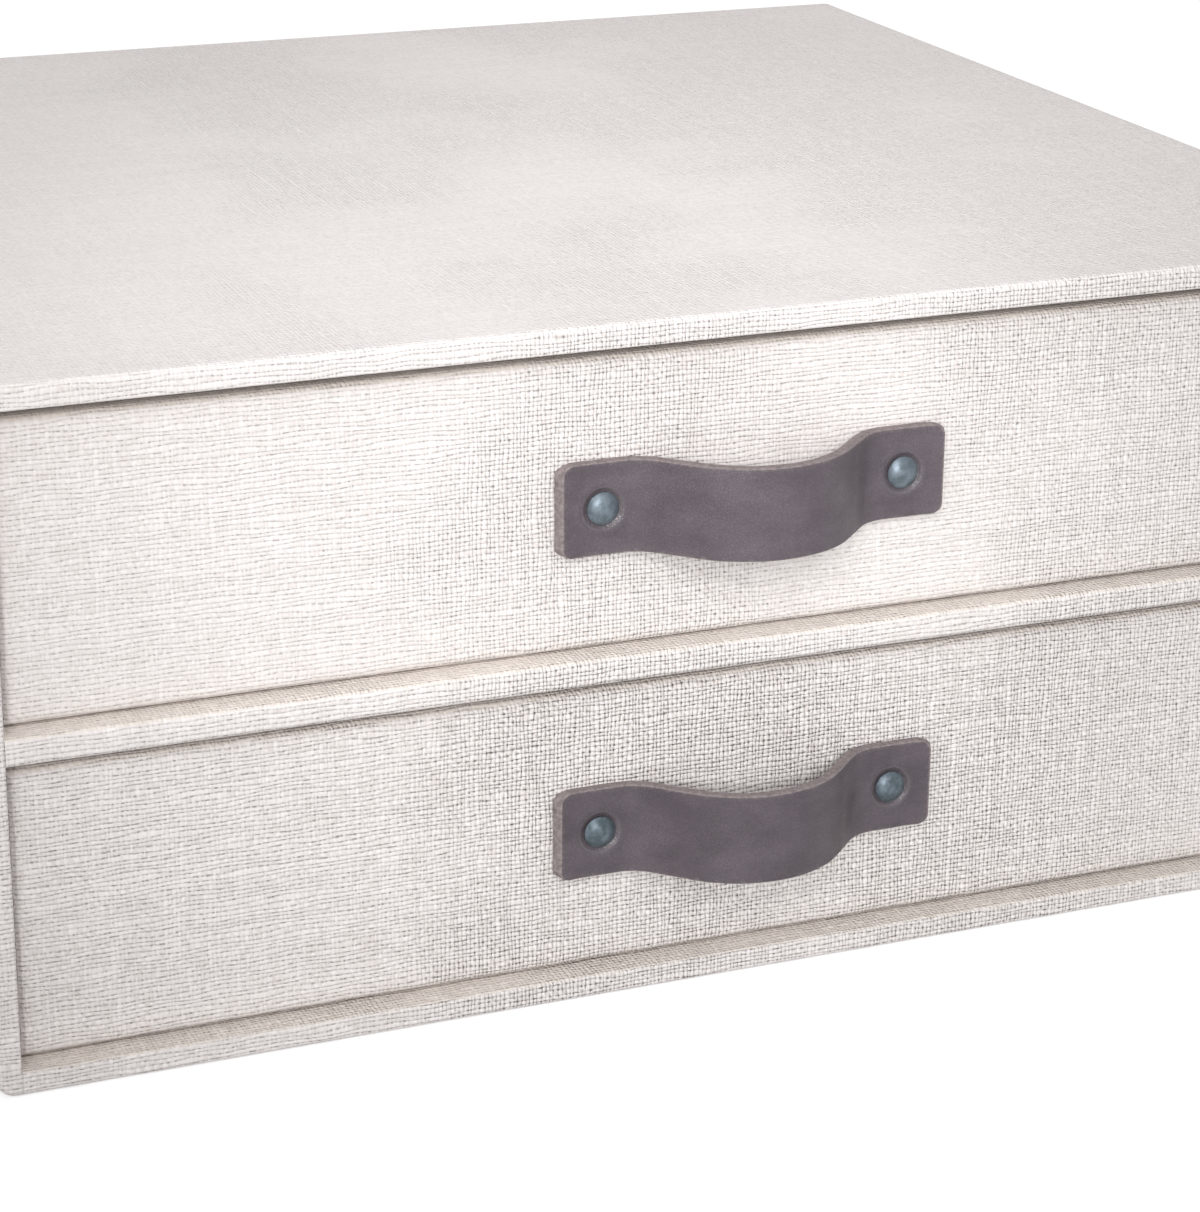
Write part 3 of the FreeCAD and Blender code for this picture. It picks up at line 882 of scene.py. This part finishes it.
def rivet_shank(tree, given):
    """A cylinder that hangs from the underside of the brim."""
    length = given["Shank length"]
    shank = geometry(tree, "MeshCylinder", Vertices=32, Radius=given["Shank radius"], Depth=length)
    down = vector(tree, 0.0, 0.0, length * -0.5 - given["Brim"])
    return geometry(tree, "Transform", Geometry=shank, Translation=down)


print("A rivet's head is", round(2 * RIVET["Head radius"] / MM, 1), "mm across")

# %% [markdown]
# A turned profile would make a perfect dome, but the heads were set with a hammer. So the rivet is copied to
# both seats and then dented by a noise in the place where each copy stands, which makes every head
# different.


# %% The rivets as a geometry group
def make_rivet_tree():
    tree, given, out = new_group("Domed rivets", {
        "Seats": "Geometry", **RIVET, "Shank length": 8.0 * MM, "Dents": 0.12 * MM, "Metal": "Material"},
        {"Rivets": "Geometry"}, "GeometryNodeTree")
    head = domed_head(tree, given)
    shank = rivet_shank(tree, given)
    both = place_node(tree, "GeometryNodeJoinGeometry")
    for piece in (shank, head):
        tree.links.new(piece.socket, both.inputs[0])
    facing_front = vector(tree, math.pi / 2, 0.0, 0.0)
    rivet = Wire(tree, both.outputs[0])
    copies = geometry(
        tree, "InstanceOnPoints", Points=given["Seats"], Instance=rivet, Rotation=facing_front)
    copies = geometry(tree, "RealizeInstances", Geometry=copies)
    spot = geometry(tree, "InputPosition")
    dent = (noise(tree, spot, scale=330.0, detail=2.0) - 0.5) * given["Dents"]
    outwards = geometry(tree, "InputNormal")
    push = place_node(tree, "ShaderNodeVectorMath", {"operation": "SCALE"}, Vector=outwards, Scale=dent)
    copies = geometry(tree, "SetPosition", Geometry=copies, Offset=Wire(tree, push.outputs[0]))
    copies = geometry(tree, "SetShadeSmooth", Geometry=copies)
    plug(geometry(tree, "SetMaterial", Geometry=copies, Material=given["Metal"]), out["Rivets"])
    return tree


rivet_tree = make_rivet_tree()
print("Domed rivets:", len(rivet_tree.nodes), "nodes")

# %% [markdown]
# The seats are two points, one head's radius in from the ends of the CAD rivets' box, and the box's depth
# leaves the shank its length.

# %% Two rivets for each drawer
for drawer in ("upper_drawer", "lower_drawer"):
    cad_node = drawer.replace("drawer", "handle_rivets")
    low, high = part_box(cad_node)
    seats = bpy.data.meshes.new(drawer + "_rivet_seats")
    brim_top = low[1] + RIVET["Dome"]
    middles = [low[0] + RIVET["Head radius"], high[0] - RIVET["Head radius"]]
    seats.from_pydata([(x, brim_top, (low[2] + high[2]) / 2) for x in middles], [], [])
    shank_length = high[1] - brim_top - RIVET["Brim"]
    rivet_values = {**RIVET, "Shank length": shank_length, "Metal": metal}
    rivets = run_tree(drawer + "_domed_rivets", seats, rivet_tree, rivet_values)
    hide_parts(cad_node)
    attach(rivets, drawer)

# %% [markdown]
# ## Light and camera
# The box stands on a pale floor in a white room. The floor and the room look white to the camera and in
# reflections, but they send less light than that to the box, so its own pale cloth doesn't wash out.


# %% What the camera and reflections see
def seen_directly(tree):
    """1 for rays from the camera, a reflection or glass, and 0 for rays that only carry light."""
    path = place_node(tree, "ShaderNodeLightPath")
    camera_ray, glossy_ray, glass_ray = (
        Wire(tree, path.outputs["Is %s Ray" % kind]) for kind in ("Camera", "Glossy", "Transmission"))
    return camera_ray.math("MAXIMUM", glossy_ray).math("MAXIMUM", glass_ray)


print("Light Path tells the rays apart")

# %% [markdown]
# The floor is a plain square, wide enough to fill the view. Its grey paint takes the box's shadow, and a
# glow that only the camera and reflections see lifts it to white.

# %% Floor
FLOOR_HALF = 4.0
FLOOR_PAINT = 0.66
FLOOR_GLOW = 0.56
floor_mesh = bpy.data.meshes.new("floor")
floor_corners = [(x * FLOOR_HALF, y * FLOOR_HALF, 0) for x, y in ((-1, -1), (1, -1), (1, 1), (-1, 1))]
floor_mesh.from_pydata(floor_corners, [], [(0, 1, 2, 3)])
floor = add_object("floor", floor_mesh)
material, tree, shader = new_material("Pale studio floor")
shader.inputs["Base Color"].default_value = (FLOOR_PAINT, FLOOR_PAINT, FLOOR_PAINT, 1)
shader.inputs["Roughness"].default_value = 0.9
plug(seen_directly(tree), shader.inputs["Emission Strength"])
shader.inputs["Emission Color"].default_value = (FLOOR_GLOW, FLOOR_GLOW, FLOOR_GLOW, 1)
floor_mesh.materials.append(material)
print("The floor is", 2 * FLOOR_HALF, "m wide")

# %% [markdown]
# The room is an even white light from all sides, which fills the shadows.

# %% World
ROOM_LIGHT = 0.72
world = bpy.data.worlds.new("Studio")
bpy.context.scene.world = world
world.use_nodes = True
tree = world.node_tree
sky = tree.nodes["Background"]
plug(seen_directly(tree) * (1.0 - ROOM_LIGHT) + ROOM_LIGHT, sky.inputs["Strength"])
sky.inputs["Color"].default_value = (1.0, 1.0, 1.0, 1)
print("The room is white, and lights the box with a strength of", ROOM_LIGHT)

# %% [markdown]
# The key light stands behind the camera and above it. One area lamp would light the whole room, so the key
# is built from seven narrow spots: one in the middle and six in a ring round it. They are aimed at the front
# of the lid, so the light is strongest there and fades towards the ends. A lower fill lamp lightens the
# right half of the drawers.

# %% Lamps
KEY_CENTRE = Vector((-0.80, -1.90, 1.35))
KEY_AIM = Vector((-0.031, -0.117, 0.141))
KEY_RING = 0.45
KEY_RING_SPOTS = 6
KEY = {"cone": 8.7, "power": 14.0, "size": 0.06}
FILL_PLACE = Vector((-0.85, -2.15, 0.75))
FILL_AIM = Vector((0.12, -0.15, 0.095))
FILL = {"cone": 12.5, "power": 228.0, "size": 0.3}


def add_spot(name, place, aim, cone, power, size):
    """A spot lamp aimed at a point on the box. Its cone is in degrees and its power in watts."""
    lamp = bpy.data.lights.new(name, "SPOT")
    lamp.energy = power
    lamp.spot_size = math.radians(cone)
    lamp.spot_blend = 1.0
    lamp.shadow_soft_size = size
    spot = add_object(name, lamp)
    spot.location = place
    spot.rotation_euler = (aim - place).to_track_quat("-Z", "Y").to_euler()


forward = (KEY_AIM - KEY_CENTRE).normalized()
sideways = forward.cross(Vector((0, 0, 1))).normalized()
upwards = sideways.cross(forward)
add_spot("key_0", KEY_CENTRE, KEY_AIM, **KEY)
for number in range(1, KEY_RING_SPOTS + 1):
    turn = math.radians(360 / KEY_RING_SPOTS * number)
    out = KEY_RING * (math.cos(turn) * sideways + math.sin(turn) * upwards)
    add_spot("key_%d" % number, KEY_CENTRE + out, KEY_AIM, **KEY)
add_spot("fill", FILL_PLACE, FILL_AIM, **FILL)
spots = [thing.name for thing in bpy.data.objects if thing.type == "LIGHT"]
print("Placed", len(spots), "spots:", ", ".join(spots))

# %% [markdown]
# The camera looks down on the box from the left of its front, through a long lens, so the upright edges stay
# almost parallel. Its direction is an azimuth and an elevation, with a slight roll.

# %% Camera
AZIMUTH, ELEVATION, ROLL = (math.radians(angle) for angle in (-22.374, 20.043, 0.543))
CAMERA_PLACE = Vector((-0.28936, -0.77067, 0.33164))
SENSOR = 36.0
FOCAL_PIXELS = 3465.331
FRAME_HEIGHT = 1212
level = math.cos(ELEVATION)
back = Vector((math.sin(AZIMUTH) * level, -math.cos(AZIMUTH) * level, math.sin(ELEVATION)))
right = Vector((0, 0, 1)).cross(back).normalized()
up = back.cross(right)
rolled_right = math.cos(ROLL) * right + math.sin(ROLL) * up
rolled_up = math.cos(ROLL) * up - math.sin(ROLL) * right
turned = Matrix((rolled_right, rolled_up, back)).transposed().to_4x4()
camera = add_object("camera", bpy.data.cameras.new("camera"))
bpy.context.scene.camera = camera
camera.matrix_world = Matrix.Translation(CAMERA_PLACE) @ turned
camera.data.sensor_width = SENSOR
camera.data.lens = SENSOR * FOCAL_PIXELS / FRAME_HEIGHT
camera.data.clip_start = 0.01
camera.data.clip_end = 50.0
bpy.context.scene.view_settings.view_transform = "Standard"
print("The lens is", round(camera.data.lens, 1), "mm long")
